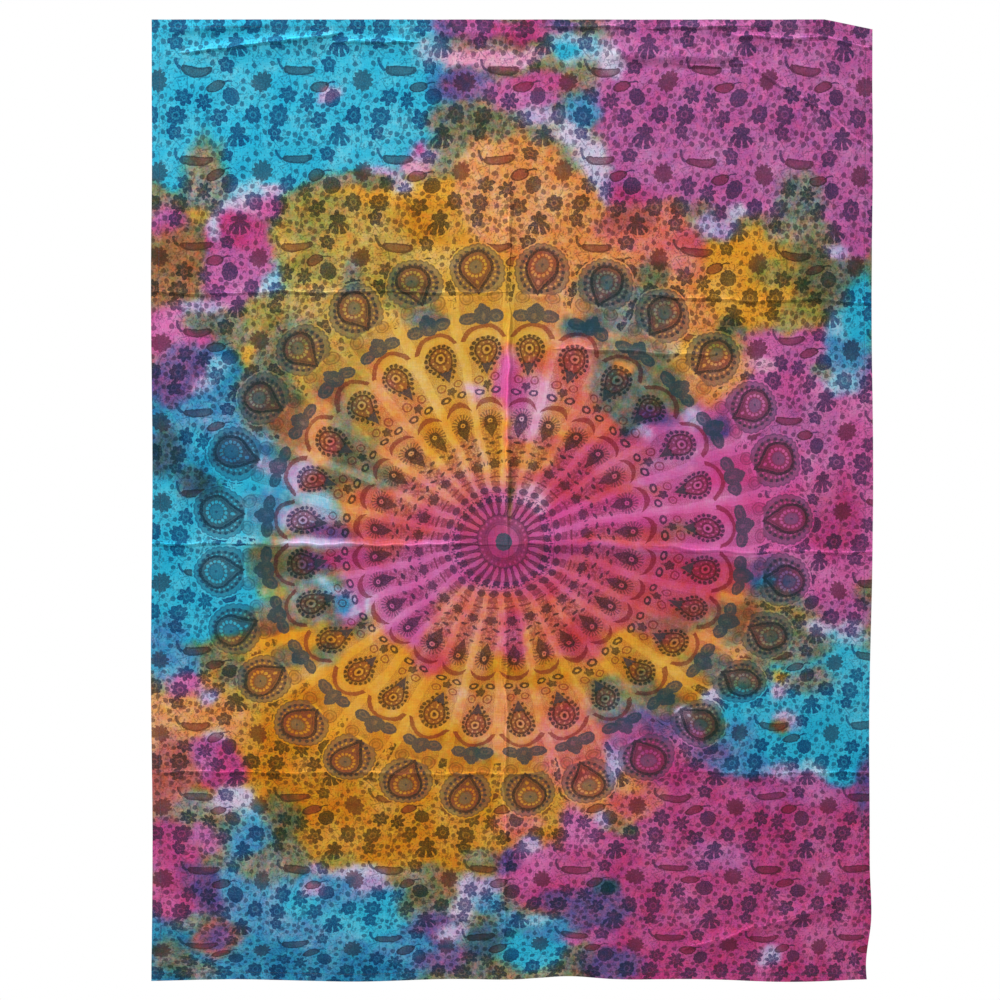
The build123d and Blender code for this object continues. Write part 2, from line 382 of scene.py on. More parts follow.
    ("gold", -20, 440, 16, 34), ("salmon", -98, 506, 46, 18), ("cherry", 82, 470, 52, 28, -30),
    ("cherry", 150, 580, 84, 20, 5), ("cherry", 64, 602, 56, 20), ("cherry", -70, 528, 40, 12),
    ("salmon", -44, 642, 44, 30), ("salmon", 40, 640, 46, 28), ("cherry", -4, 652, 13, 28),
    ("crimson", -84, 670, 17, 22, 30), ("crimson", 72, 650, 20, 28, -20), ("crimson", 112, 618, 34, 24, -20),
    ("orange", 18, 664, 12, 24), ("orange", -40, 672, 12, 18, 10), ("magenta", -12, 551, 34, 32),
    # painted shadow: a thin dark rust strip where the middle crease casts its shade
    ("rust", -3.5, 500, 3.6, 28),
    # duller corner of the warm middle
    ("olive", -200, 212, 46, 30), ("ochre", -150, 240, 50, 44), ("amber", -92, 212, 42, 24),
    ("olive", -120, 282, 24, 14), ("ochre", -190, 300, 46, 28), ("sage", -176, 268, 14, 20),
]

# pale rays where the wet cloth was pleated: (from, to, half width)
paleRays = [
    ((60, 530), (250, 494), 5), ((100, 558), (330, 562), 3), ((-330, 548), (-150, 552), 6),
    ((110, 480), (260, 424), 5), ((-10, 540), (-20, 260), 3), ((-20, 520), (-70, 300), 5),
    ((8, 520), (55, 300), 4), ((-30, 520), (-125, 330), 5), ((-110, 500), (-330, 420), 4),
    ((-30, 590), (-80, 800), 5), ((-60, 600), (-150, 770), 5), ((-80, 600), (-270, 720), 5),
]


def dyeAt(u, v):
    # the pools' edges wander: coarse, middling and fine
    wanderU = 8 * cloudNoise(u, v, 44, 11) + 5 * cloudNoise(u, v, 17, 12) + 3 * cloudNoise(u, v, 7.5, 15)
    wanderV = 8 * cloudNoise(u, v, 44, 13) + 5 * cloudNoise(u, v, 17, 14) + 3 * cloudNoise(u, v, 7.5, 16)
    dye = np.tile(np.array(dyeRecipes["sage"]), (len(u), 1))
    for recipe, cu, cv, ru, rv, *turned in dyePools:
        turn = math.radians(sum(turned))
        c, s = math.cos(turn), math.sin(turn)
        calm = min(1, min(ru, rv) / 14)  # a small spot strays less
        a, b = u + wanderU * calm - cu, v + wanderV * calm - cv
        reach = np.hypot((a * c + b * s) / ru, (b * c - a * s) / rv)
        soft = min(0.45, 8 / min(ru, rv))
        cover = (1 - eased(reach, 1 - soft, 1 + soft))[:, None]
        dye = dye * (1 - cover) + np.array(dyeRecipes[recipe]) * cover
    for (u1, v1), (u2, v2), width in paleRays:
        length = math.hypot(u2 - u1, v2 - v1)
        alongU, alongV = (u2 - u1) / length, (v2 - v1) / length
        reach = ((u - u1) * alongU + (v - v1) * alongV) / length
        across = np.abs((v - v1) * alongU - (u - u1) * alongV)
        ray = np.exp(-(across / width) ** 2) * eased(reach, 0, 0.15) * (1 - eased(reach, 0.7, 1))
        dye = dye * (1 - 0.28 * ray)[:, None]
    mottle = 1 + 0.2 * cloudNoise(u, v, 36, 21) + 0.16 * cloudNoise(u, v, 13, 22)
    return dye * mottle[:, None]


# making and finishing pieces

def benchGrid(name, uRange, vRange, columns, rows):
    bpy.ops.object.select_all(action="DESELECT")
    bpy.ops.mesh.primitive_grid_add(x_subdivisions=columns, y_subdivisions=rows, size=1)
    piece = bpy.context.object
    piece.name = name
    piece.scale = ((uRange[1] - uRange[0]) * mm, (vRange[1] - vRange[0]) * mm, 1)
    piece.location = (sum(uRange) / 2 * mm, -sum(vRange) / 2 * mm, 0)
    bpy.ops.object.transform_apply(location=True, rotation=False, scale=True)
    return piece


def applied(piece, kind, **settings):
    bpy.context.view_layer.objects.active = piece
    modifier = piece.modifiers.new(kind.title(), kind)
    for key, value in settings.items():
        setattr(modifier, key, value)
    bpy.ops.object.modifier_apply(modifier=modifier.name)


def markPlan(piece, turnedOver):
    # turnedOver mirrors a hem's plan over the cloth's edge, because a hem shows the cloth beyond it
    mesh = piece.data
    spots = np.empty(len(mesh.vertices) * 3)
    mesh.vertices.foreach_get("co", spots)
    spots = spots.reshape(-1, 3) / mm
    u, v = turnedOver(spots[:, 0], -spots[:, 1])
    corners = np.empty(len(mesh.loops), dtype=np.int32)
    mesh.loops.foreach_get("vertex_index", corners)
    plan = np.stack([u / cloth["width"] + 0.5, 1 - v / cloth["height"]], 1)
    while mesh.uv_layers:
        mesh.uv_layers.remove(mesh.uv_layers[0])
    layer = mesh.uv_layers.new(name="clothPlan")
    layer.data.foreach_set("uv", plan[corners].ravel().astype(np.float32))
    dye = np.concatenate([dyeAt(u, v), np.ones((len(u), 1))], 1)
    stain = mesh.attributes.new("dyeBaths", "FLOAT_COLOR", "POINT")
    stain.data.foreach_set("color", dye.ravel().astype(np.float32))


def smoothed(piece, degrees=60):
    bpy.ops.object.select_all(action="DESELECT")
    piece.select_set(True)
    bpy.context.view_layer.objects.active = piece
    bpy.ops.object.shade_smooth_by_angle(angle=math.radians(degrees))


def acrossSwing(piece):
    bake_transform(piece)


# node helpers: a bench for building patterns from sockets and numbers

class PatternBench:
    def __init__(self, tree):
        self.tree = tree
        self.made = 0

    def node(self, kind, **settings):
        node = self.tree.nodes.new(kind)
        node.location = (190 * (self.made % 40), -240 * (self.made // 40))
        self.made += 1
        for key, value in settings.items():
            setattr(node, key, value)
        return node

    def feed(self, socket, value):
        if isinstance(value, bpy.types.NodeSocket):
            self.tree.links.new(value, socket)
        elif value is not None:
            socket.default_value = value

    def sum(self, operation, *values):
        node = self.node("ShaderNodeMath", operation=operation)
        for socket, value in zip(node.inputs, values):
            self.feed(socket, value)
        return node.outputs[0]

    def vector(self, operation, *values):
        node = self.node("ShaderNodeVectorMath", operation=operation)
        for socket, value in zip(node.inputs, values):
            self.feed(socket, value)
        single = operation in ("LENGTH", "DISTANCE", "DOT_PRODUCT")
        return node.outputs["Value" if single else "Vector"]

    def scaled(self, vector, amount):
        node = self.node("ShaderNodeVectorMath", operation="SCALE")
        self.feed(node.inputs[0], vector)
        self.feed(node.inputs["Scale"], amount)
        return node.outputs["Vector"]

    def split(self, vector):
        node = self.node("ShaderNodeSeparateXYZ")
        self.feed(node.inputs[0], vector)
        return node.outputs

    def joined(self, x, y, z=0.0):
        node = self.node("ShaderNodeCombineXYZ")
        for socket, value in zip(node.inputs, (x, y, z)):
            self.feed(socket, value)
        return node.outputs[0]

    def placed(self, point, centre, size=(1, 1), turn=0):
        node = self.node("ShaderNodeMapping", vector_type="TEXTURE")
        self.feed(node.inputs["Vector"], point)
        node.inputs["Location"].default_value = (centre[0], centre[1], 0)
        node.inputs["Rotation"].default_value = (0, 0, math.radians(turn))
        node.inputs["Scale"].default_value = (size[0], size[1], 1)
        return node.outputs[0]

    def noise(self, point, scale, detail=2.0, roughness=0.5):
        node = self.node("ShaderNodeTexNoise", noise_dimensions="2D")
        self.feed(node.inputs["Vector"], point)
        node.inputs["Scale"].default_value = scale
        node.inputs["Detail"].default_value = detail
        node.inputs["Roughness"].default_value = roughness
        return node.outputs

    def ranged(self, value, low, high, toLow=0.0, toHigh=1.0):
        node = self.node("ShaderNodeMapRange")
        for socket, item in zip(node.inputs, (value, low, high, toLow, toHigh)):
            self.feed(socket, item)
        return node.outputs[0]

    def mixed(self, amount, first, second, blend="MIX"):
        node = self.node("ShaderNodeMix", data_type="RGBA", blend_type=blend)
        self.feed(node.inputs["Factor"], amount)
        self.feed(node.inputs[6], first)
        self.feed(node.inputs[7], second)
        return node.outputs[2]

    # shapes: each gives a gauge that is 1 on the outline, or a mask
    def oval(self, point, centre, size, turn=0):
        return self.vector("LENGTH", self.placed(point, centre, size, turn))

    def inside(self, gauge, edge=1.0):
        return self.sum("LESS_THAN", gauge, edge)

    def band(self, gauge, middle, half):
        return self.sum("COMPARE", gauge, middle, half)

    def faint(self, mask, strength):
        return self.sum("MULTIPLY", mask, strength)

    def over(self, gauge, edge=1.0):
        return self.sum("GREATER_THAN", gauge, edge)

    def both(self, *masks):
        out = masks[0]
        for mask in masks[1:]:
            out = self.sum("MULTIPLY", out, mask)
        return out

    def either(self, *masks):
        out = masks[0]
        for mask in masks[1:]:
            out = self.sum("MAXIMUM", out, mask)
        return out

    def without(self, mask, hole, strength=1.0):
        return self.sum("MULTIPLY", mask, self.sum("MULTIPLY_ADD", hole, -strength, 1.0))

    def angle(self, placedPoint):
        x, y, z = self.split(placedPoint)
        return self.sum("ARCTAN2", x, y)

    def flower(self, point, centre, radius, petals, depth, turn=0, squash=1.0):
        local = self.placed(point, centre, (radius, radius * squash), turn)
        wave = self.sum("ABSOLUTE", self.sum("COSINE", self.sum("MULTIPLY", self.angle(local), petals / 2)))
        reach = self.sum("MULTIPLY_ADD", wave, depth, 1 - depth)
        return self.sum("DIVIDE", self.vector("LENGTH", local), reach)

    def dotRing(self, point, centre, radius, count, size):
        local = self.placed(point, centre)
        turns = self.sum("FRACT", self.sum("MULTIPLY", self.angle(local), count / (2 * math.pi)))
        pitch = 2 * math.pi * radius / count
        aside = self.sum("MULTIPLY_ADD", turns, pitch, -pitch / 2)
        out = self.sum("SUBTRACT", self.vector("LENGTH", local), radius)
        return self.inside(self.vector("LENGTH", self.joined(aside, out)), size)

    def teardrop(self, point, centre, radius, reach):
        # round at the top, drawn to a point reach below its centre
        lean = math.asin(radius / reach)
        local = self.placed(point, centre, (radius, radius))
        flank = self.vector("DOT_PRODUCT", local, (math.cos(lean), -math.sin(lean), 0))
        capped = self.sum("GREATER_THAN", self.vector("DOT_PRODUCT", local, (math.tan(lean), 1, 0)), 0)
        node = self.node("ShaderNodeMix", data_type="FLOAT")
        self.feed(node.inputs[0], capped)
        self.feed(node.inputs[2], flank)
        self.feed(node.inputs[3], self.vector("LENGTH", local))
        return node.outputs[0]


def newGroup(name, inputs, outputs):
    tree = bpy.data.node_groups.new(name, "ShaderNodeTree")
    for label, kind in inputs:
        tree.interface.new_socket(label, in_out="INPUT", socket_type=kind)
    for label, kind in outputs:
        tree.interface.new_socket(label, in_out="OUTPUT", socket_type=kind)
    bench = PatternBench(tree)
    start, end = bench.node("NodeGroupInput"), bench.node("NodeGroupOutput")
    return bench, start.outputs, end.inputs


def groupNode(bench, group, **values):
    node = bench.node("ShaderNodeGroup", node_tree=group)
    for label, value in values.items():
        bench.feed(node.inputs[label], value)
    return node.outputs


# the print

printPlan = {
    "centreAcross": -11.6,  # of the round, in the flat plan
    "centreDown": 551.0,
    "stretch": (0.85, 1.476e-4),  # the print runs closer together towards the bottom
    "taper": 7.8e-5,
    "shear": 0.025,
    "squash": 0.934,  # of the round, height over width
    "sectors": 28,
    "tile": (102.8, 83.3),
    "tileStart": (-322.9, 46.0),  # the first boat leaf, from the round's centre line and the top
    "tileWindow": (-36.4, -11.3),
}


def printDepth(v):
    slope, bend = printPlan["stretch"]
    return v * (slope + bend * v)


def layoutGroup():
    # cloth plan in, place in the print out: across from the round's centre, down from the top
    bench, given, out = newGroup(
        "printLayout", [("Plan", "NodeSocketVector")], [("Place", "NodeSocketVector")]
    )
    plan = bench.vector("MULTIPLY_ADD", given["Plan"], (cloth["width"], -cloth["height"], 0),
                        (-halfWidth, cloth["height"], 0))
    wobble = bench.vector("SUBTRACT", bench.noise(plan, 0.021, 1.0)[1], (0.5, 0.5, 0.5))
    plan = bench.vector("MULTIPLY_ADD", wobble, (9, 9, 0), plan)
    ragged = bench.vector("SUBTRACT", bench.noise(plan, 0.33, 2.0, 0.6)[1], (0.5, 0.5, 0.5))
    plan = bench.vector("MULTIPLY_ADD", ragged, (1.9, 1.9, 0), plan)
    u, v, w = bench.split(plan)
    slope, bend = printPlan["stretch"]
    depth = bench.sum("MULTIPLY", v, bench.sum("MULTIPLY_ADD", v, bend, slope))
    widen = bench.sum("MULTIPLY_ADD", v, printPlan["taper"], 1 - printPlan["taper"] * printPlan["centreDown"])
    across = bench.sum("MULTIPLY", bench.sum("SUBTRACT", u, printPlan["centreAcross"]), widen)
    shifted = bench.sum("MULTIPLY_ADD", depth, printPlan["shear"],
                        -printPlan["shear"] * printDepth(printPlan["centreDown"]))
    bench.feed(out["Place"], bench.joined(bench.sum("ADD", across, shifted), depth))
    return bench.tree


def fieldGroup():
    # one tile of flowers, measured from the middle of its boat leaf, down is positive
    bench, given, out = newGroup(
        "fieldFlowers", [("Place", "NodeSocketVector")],
        [("Dark", "NodeSocketFloat"), ("Red", "NodeSocketFloat")],
    )
    startX, startY = printPlan["tileStart"]
    left, top = printPlan["tileWindow"]
    wide, tall = printPlan["tile"]
    place = bench.vector("SUBTRACT", given["Place"], (startX, startY, 0))
    tile = bench.vector("WRAP", place, (left + wide, top + tall, 1), (left, top, -1))

    boatShape = bench.oval(tile, (0.5, -1.0), (16.0, 6.2))
    boatTop = bench.oval(tile, (1, -13), (34, 9.5))
    boat = bench.both(bench.inside(boatShape), bench.over(boatTop))
    boatCore = bench.both(bench.inside(boatShape, 0.76), bench.over(boatTop, 1.14))
    tail = bench.both(bench.band(bench.oval(tile, (-10, -11), (11, 12)), 1.0, 0.13),
                      bench.inside(bench.oval(tile, (-20, -6), (7, 7))))
    leaf = bench.oval(tile, (20, 14.8), (9.6, 4.9), -14)
    leafTip = bench.band(bench.oval(tile, (34, 20), (11, 10)), 1.0, 0.07)
    leafTip = bench.both(leafTip, bench.inside(bench.oval(tile, (31, 11), (6, 3))))
    dahlia = bench.flower(tile, (65.4, 10.2), 10.3, 11, 0.24)
    dahliaWrapped = bench.flower(tile, (65.4 - wide, 10.2), 10.3, 11, 0.24)
    dahlia = bench.sum("MINIMUM", dahlia, dahliaWrapped)

    flowers = [
        bench.flower(tile, (-11.4, 23.9), 9.2, 6, 0.42, 12),
        bench.flower(tile, (8.0, 28.8), 8.7, 7, 0.5, 0, 1.06),
        bench.flower(tile, (-18.8, 42.4), 10.0, 8, 0.26, 10),
        bench.flower(tile, (22.3, 44.5), 9.3, 5, 0.45, 8),
        bench.flower(tile, (-21.8, 57.4), 7.7, 5, 0.34, 30),
        bench.flower(tile, (58.0, 41.2), 9.5, 7, 0.22, 20),
        bench.flower(tile, (34.6, 24.2), 8.6, 9, 0.08, 0),
        bench.flower(tile, (30.6, -4.6), 8.8, 5, 0.34, 36, 0.85),
    ]
    petals = flowers[0]
    for flower in flowers[1:]:
        petals = bench.sum("MINIMUM", petals, flower)
    pip = bench.band(petals, 0.34, 0.07)  # a paler ring in each flower's heart

    bud = bench.flower(tile, (42.0, 57.5), 8.5, 5, 0.45, 180)
    calyx = bench.oval(tile, (42.0, 65.2), (11, 6.4))
    calyxTurn = bench.angle(bench.placed(tile, (42.0, 57.0)))
    lobes = bench.sum("ABSOLUTE", bench.sum("SINE", bench.faint(calyxTurn, 5.0)))
    calyxMask = bench.both(bench.inside(calyx), bench.over(lobes, 0.34))

    dots = [
        (-33.3, 23.9), (-30.3, 33.5), (-23.5, 26.7), (47.5, 9.4), (47.5, 17.4), (56.8, 25.4),
        (39.3, 38.4), (48.6, 45.5), (0.8, 37.9), (11.6, 38.6), (0.8, 45.4), (11.0, 45.6),
        (6.3, 51.6), (-7.2, 57.6), (-0.4, 59.2), (9.8, 58.8), (22.1, 56.9), (24.4, 63.4),
        (12.9, 66.3), (-9.3, 66.6), (-28.0, 67.5), (-32.6, 57.0), (62.3, 52.7), (60.6, 63.1),
        (30.6, 69.0), (16.3, -7.0), (-26.5, -6.0), (25.6, 31.4), (30.8, 35.4), (17.6, 69.0),
        (1.6, 67.4), (4.4, 62.6), (-14.6, 62.6), (16.6, 51.6), (52.0, 0.4), (59.4, -5.4),
        (-31.6, 44.0), (46.0, 30.6), (-3.2, 12.8), (6.4, 15.4),
    ]
    nearest = None
    for spot in dots:
        gap = bench.vector("DISTANCE", tile, (spot[0], spot[1], 0))
        nearest = gap if nearest is None else bench.sum("MINIMUM", nearest, gap)

    stems = [  # centre, size, middle of the kept stretch, its half size
        ((2, 40), (32, 38), (-24, 66), (12, 12)), ((2, 46), (33, 30), (28, 70), (9, 9)),
        ((-24, 12), (16, 22), (-9, 12), (7, 12)), ((-38, 24), (24, 24), (-15, 16), (6, 11)),
        ((20, 26), (12, 16), (10, 18), (4, 8)), ((24, 60), (20, 16), (6, 56), (5, 14)),
        ((54, 24), (16, 14), (42, 12), (8, 7)), ((50, 60), (15, 18), (62, 66), (8, 9)),
        ((40, 20), (27, 26), (62, 30), (7, 9)), ((0, 16), (26, 13), (-4, 5), (16, 4)),
    ]
    lines = None
    for centre, size, keep, keepSize in stems:
        stroke = bench.both(bench.band(bench.oval(tile, centre, size), 1.0, 0.55 / min(size)),
                            bench.inside(bench.oval(tile, keep, keepSize)))
        lines = stroke if lines is None else bench.either(lines, stroke)

    # fine leafy twigs and specks between the flowers
    twigs = bench.band(bench.noise(tile, 0.085, 2.0)[0], 0.5, 0.014)
    specks = bench.over(bench.noise(tile, 0.3, 1.0)[0], 0.64)
    berries = bench.either(bench.inside(nearest, 2.5), bench.faint(specks, 0.7))

    # the two inks of the field, each leaf and bloom at its own strength
    leafFill, dahliaFill = bench.inside(leaf), bench.inside(dahlia)
    rim = bench.without(boat, boatCore)
    leafRim = bench.band(leaf, 0.9, 0.12)
    dark = bench.either(bench.inside(petals), bench.inside(bud), calyxMask, bench.faint(berries, 0.75))
    dark = bench.without(dark, pip, 0.35)
    dark = bench.either(dark, bench.inside(flowers[6], 0.85), bench.faint(tail, 0.95), leafTip)
    dark = bench.either(dark, bench.faint(bench.either(lines, twigs), 0.55))
    dark = bench.either(dark, bench.faint(rim, 0.8), bench.faint(boat, 0.45), bench.faint(leafRim, 0.8),
                        bench.faint(leafFill, 0.35), bench.faint(dahliaFill, 0.7))
    red = bench.either(bench.faint(boat, 0.8), bench.faint(leafFill, 0.9), bench.faint(dahliaFill, 0.7),
                       bench.faint(berries, 0.25))
    bench.feed(out["Dark"], dark)
    bench.feed(out["Red"], red)
    return bench.tree


def roundGroup():
    # the mandala: half of one column, mirrored about its middle and repeated round the centre,
    # with a clean ray between each column and the next
    bench, given, out = newGroup(
        "mandala", [("Place", "NodeSocketVector")],
        [("Dark", "NodeSocketFloat"), ("Red", "NodeSocketFloat"), ("Slate", "NodeSocketFloat"),
         ("Ground", "NodeSocketFloat")],
    )
    squash = printPlan["squash"]
    local = bench.vector("MULTIPLY_ADD", given["Place"], (1, -1 / squash, 0),
                         (0, printDepth(printPlan["centreDown"]) / squash, 0))
    reach = bench.vector("LENGTH", local)
    turn = bench.angle(local)
    share = 2 * math.pi / printPlan["sectors"]
    part = bench.sum("FRACT", bench.sum("MULTIPLY", turn, 1 / share))
    swing = bench.sum("MULTIPLY", bench.sum("ABSOLUTE", bench.sum("SUBTRACT", part, 0.5)), share)
    aside = bench.sum("MULTIPLY", reach, bench.sum("SINE", swing))
    outward = bench.sum("MULTIPLY", reach, bench.sum("COSINE", swing))
    fromRay = bench.sum("MULTIPLY", reach, bench.sum("SUBTRACT", share / 2, swing))
    cell = bench.joined(aside, outward)
    rayCell = bench.joined(fromRay, reach)
    inked = {"dark": 0.0, "red": 0.0, "slate": 0.0}

    def inkIn(ink, mask, strength):
        stroke = mask if strength == 1 else bench.faint(mask, strength)
        inked[ink] = bench.sum("MAXIMUM", inked[ink], stroke)

    def darker(mask, strength=1.0):
        inkIn("dark", mask, strength)

    def redder(mask, strength=1.0):
        inkIn("red", mask, strength)

    def greyer(mask, strength=1.0):
        inkIn("slate", mask, strength)

    def spot(across, away, halfAcross, halfAway, turn=0):
        return bench.inside(bench.oval(cell, (across, away), (halfAcross, halfAway), turn))

    # the columns' own tint, stippled in red between the rays
    rayWidth = bench.ranged(reach, 30, 270, 2.4, 6.4)
    column = bench.both(bench.over(fromRay, rayWidth), bench.band(reach, 150, 122))
    stipple = bench.ranged(bench.noise(given["Place"], 1.1, 1.0)[0], 0.45, 0.55, 0.15, 1.0)
    redder(bench.both(column, stipple), 0.5)
    darker(bench.both(column, stipple), 0.17)
    beads = bench.ranged(bench.noise(given["Place"], 0.4, 1.0)[0], 0.44, 0.53, 0.0, 1.0)
    beaded = bench.both(bench.band(reach, 92, 48), bench.over(fromRay, bench.faint(rayWidth, 1.5)), beads)
    darker(beaded, 0.36)
    redder(beaded, 0.6)

    # heart: disc, red ring, fine rings and light dots, petals at the start of each ray
    darker(bench.inside(reach, 9.4), 0.7)
    greyer(bench.inside(reach, 9.4), 1.8)
    redder(bench.band(reach, 13.5, 4.0), 0.45)
    rings = bench.either(bench.band(reach, 17.4, 0.6), bench.band(reach, 20.0, 0.7))
    darker(rings, 0.55)
    darker(bench.band(reach, 22.0, 5.2), 0.42)
    redder(bench.band(reach, 22.0, 5.2), 0.5)
    darker(bench.band(reach, 27.6, 0.8), 0.8)
    seeds = bench.inside(bench.oval(cell, (0, 24.3), (1.2, 1.4)))
    petal = bench.oval(rayCell, (0, 36.6), (2.35, 8.6))
    lightPetal = bench.inside(petal)
    petalField = bench.band(reach, 36.5, 8.8)
    darker(petalField, 0.55)
    redder(petalField, 0.6)
    darker(bench.both(petalField, bench.band(aside, 0.9, 0.35)), 0.9)

    # buds and tendrils up to the pointed border
    darker(spot(0, 47.6, 3.9, 3.7))
    darker(spot(2.9, 51.8, 1.5, 1.3))
    darker(bench.band(reach, 56.4, 0.5), 0.6)
    eyelet = bench.oval(cell, (0, 60), (4.8, 3.7))
    darker(bench.inside(eyelet), 0.9)
    darker(spot(5.9, 52.0, 0.9, 2.6), 0.8)
    lobe = bench.sum("ABSOLUTE", bench.sum("SINE", bench.faint(swing, 28)))
    borderLow = bench.sum("MULTIPLY_ADD", lobe, 1.6, 63.0)
    border = bench.both(bench.over(reach, borderLow), bench.inside(reach, 69.2))
    borderPips = bench.inside(bench.oval(cell, (0, 67.0), (1.5, 1.1)))
    border = bench.both(border, column)
    darker(bench.without(border, borderPips), 0.4)
    redder(border, 0.62)
    darker(bench.both(bench.band(reach, 69.3, 0.45), column), 0.7)
    darker(bench.both(bench.band(reach, 74.6, 0.75), bench.inside(aside, 6.0)), 0.6)
    redder(bench.both(bench.band(reach, 74.6, 0.9), bench.inside(aside, 6.0)), 0.8)
    darker(spot(0, 79.6, 2.4, 0.9), 0.7)

    # small drops, leaf pairs and marks
    bud = bench.flower(cell, (0, 89.6), 6.6, 7, 0.28, 12)
    budPips = bench.inside(bench.oval(cell, (3.4, 93.2), (1.1, 1.0)))
    darker(bench.without(bench.inside(bud), budPips), 0.92)
    darker(spot(8.0, 90.5, 0.9, 2.2), 0.8)
    darker(spot(6.1, 100.6, 3.7, 1.5, 20), 0.95)
    darker(spot(6.2, 107.6, 2.6, 1.2, 8), 0.45)
    darker(spot(0, 103.4, 1.2, 1.9), 0.55)
    darker(spot(0, 111.8, 3.7, 1.7))
    darker(spot(7.4, 116.6, 3.0, 1.5, 14), 0.85)

    # bristling medallions under thick red brows
    bristleAt = bench.placed(cell, (0, 137))
    bristleReach = bench.vector("LENGTH", bristleAt)
    rays = bench.sum("COSINE", bench.faint(bench.angle(bristleAt), 19))
    bristles = bench.both(bench.over(rays, 0.05), bench.band(bristleReach, 8.4, 3.4))
    body = bench.teardrop(cell, (0, 131.5), 6.6, 14.5)
    darker(bristles, 0.72)
    darker(bench.band(bristleReach, 4.2, 1.9))
    darker(bench.inside(body), 0.95)
    darker(bench.inside(bristleReach, 0.9))
    redder(bench.inside(bristleReach, 8.0), 0.55)
    eye = bench.both(bench.band(bristleReach, 1.7, 0.85), bench.over(outward, 134.6))
    bodyPips = bench.inside(bench.oval(cell, (2.6, 130.4), (0.9, 1.3)))
    brow = bench.both(spot(0, 146.5, 14.6, 15.0), bench.over(bench.oval(cell, (0, 136.0), (18.5, 19.6))))
    darker(brow, 0.34)
    redder(brow)

    # beads, sprout and small curls
    bead = bench.oval(cell, (8.8, 168), (5.5, 3.8), 6)
    beadHeart = bench.inside(bead, 0.44)
    darker(bench.without(bench.inside(bead), beadHeart))
    darker(bench.inside(bench.flower(cell, (0, 175.5), 5.2, 5, 0.34, 36)), 0.95)
    darker(spot(0, 170.0, 1.0, 3.4), 0.7)
    curl = bench.oval(cell, (8.6, 182.4), (4.8, 4.5))
    redder(bench.band(curl, 0.85, 0.16), 0.9)
    darker(bench.band(curl, 0.9, 0.13), 0.45)
    darker(bench.inside(curl, 0.34), 0.4)

    # middle medallions: drop with a flower heart and a beaded edge, under a pale halo and red arch
    rim = bench.teardrop(cell, (0, 213.6), 16.4, 30.5)
    drop = bench.teardrop(cell, (0, 214), 11.9, 27.5)
    dropHeart = bench.oval(cell, (0, 214), (1, 1))
    dropDots = bench.dotRing(cell, (0, 213.4), 14.6, 17, 2.0)
    lowDots = bench.either(spot(10.6, 202.6, 1.9, 1.9), spot(7.6, 196.8, 1.8, 1.9),
                           spot(4.8, 191.4, 1.6, 1.8))
    darker(bench.inside(rim), 0.24)
    redder(bench.inside(rim), 0.3)
    darker(bench.band(drop, 0.93, 0.09), 0.9)
    darker(bench.either(dropDots, lowDots))
    dropTip = bench.both(bench.inside(drop), bench.inside(outward, 199.5))
    darker(dropTip, 0.9)
    greyer(dropTip, 0.7)
    darker(bench.inside(drop), 0.42)
    darker(bench.inside(dropHeart, 1.9))
    darker(bench.band(dropHeart, 5.8, 0.9), 0.75)
    dropPetals = bench.dotRing(cell, (0, 214), 8.3, 9, 1.0)
    dropLight = bench.either(bench.band(dropHeart, 3.6, 1.0), dropPetals, spot(0, 203.2, 1.2, 1.6))
    redder(bench.inside(drop), 0.85)
    halo = bench.both(spot(0, 217.5, 19.6, 21.6), bench.over(rim), bench.over(outward, 214))
    arch = bench.both(spot(0, 216.5, 25.0, 26.6), bench.over(bench.oval(cell, (0, 206.5), (24.6, 30.4))),
                      bench.over(outward, 225))
    darker(arch, 0.3)
    redder(arch)

    # grey leaves under the great medallions
    sideLeaf = bench.oval(cell, (14.2, 249.2), (9.2, 6.6), -6)
    midLeaf = bench.flower(cell, (0, 255.4), 8.6, 4, 0.22, 0)
    stalk = bench.oval(cell, (0, 248), (8.4, 5.6))
    leaves = bench.either(bench.inside(sideLeaf), bench.inside(midLeaf), bench.inside(stalk))
    leafHollow = bench.either(bench.band(bench.oval(cell, (14.8, 247.8), (5.2, 3.0), -10), 0.8, 0.22),
                              bench.inside(bench.oval(cell, (0, 250), (2.2, 3.4))))
    darker(bench.without(leaves, leafHollow, 0.35), 0.88)
    greyer(leaves, 1.0)
    bigCurl = bench.oval(cell, (15.4, 270.6), (8.0, 7.4))
    darker(bench.band(bigCurl, 0.9, 0.08), 0.5)
    redder(bench.inside(bigCurl), 0.4)
    darker(bench.band(bigCurl, 0.5, 0.12), 0.4)
    darker(spot(0, 269.5, 3.4, 2.2), 0.35)

